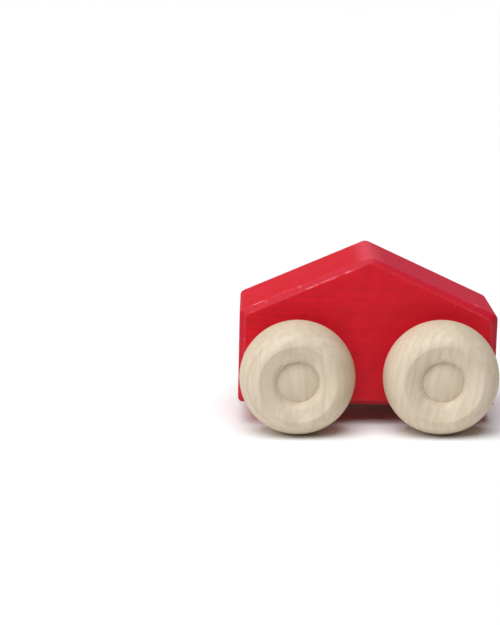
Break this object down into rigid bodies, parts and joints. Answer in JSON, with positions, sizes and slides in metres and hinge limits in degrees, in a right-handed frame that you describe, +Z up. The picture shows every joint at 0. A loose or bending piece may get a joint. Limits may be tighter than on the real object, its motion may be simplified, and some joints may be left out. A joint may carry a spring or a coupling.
{
  "type": "wooden toy vehicle",
  "caption": "Wooden push-along toy vehicle: a solid red-stained block with a gabled top, rolling on two wheelsets of dished turned wheels.",
  "frame": {"origin": "on the floor under the middle of the vehicle, midway between the axles", "axes": "+X forward along the block, +Y to the vehicle's left along the axles, +Z up"},
  "size_m": [0.1022, 0.0864, 0.0673],
  "materials": {
    "stained_block": "crimson water stain, matt to satin, grain showing through, edges rubbed paler",
    "bare_wheel": "bare pale maple, turned and sanded, satin",
    "dowel": "bare beech dowel, matt"
  },
  "bodies": {
    "block": {"body_block": "stained_block"},
    "front_wheelset": {"axle_front": "dowel", "wheel_front_left": "bare_wheel", "wheel_front_right": "bare_wheel"},
    "rear_wheelset": {"axle_rear": "dowel", "wheel_rear_left": "bare_wheel", "wheel_rear_right": "bare_wheel"}
  },
  "joints": [
    {"name": "front_axle_spin", "type": "hinge", "parent": "block", "child": "front_wheelset", "pos_m": [0.02785, 0, 0.0225], "axis": [0, 1, 0], "continuous": true},
    {"name": "rear_axle_spin", "type": "hinge", "parent": "block", "child": "rear_wheelset", "pos_m": [-0.02785, 0, 0.0225], "axis": [0, 1, 0], "continuous": true}
  ]
}
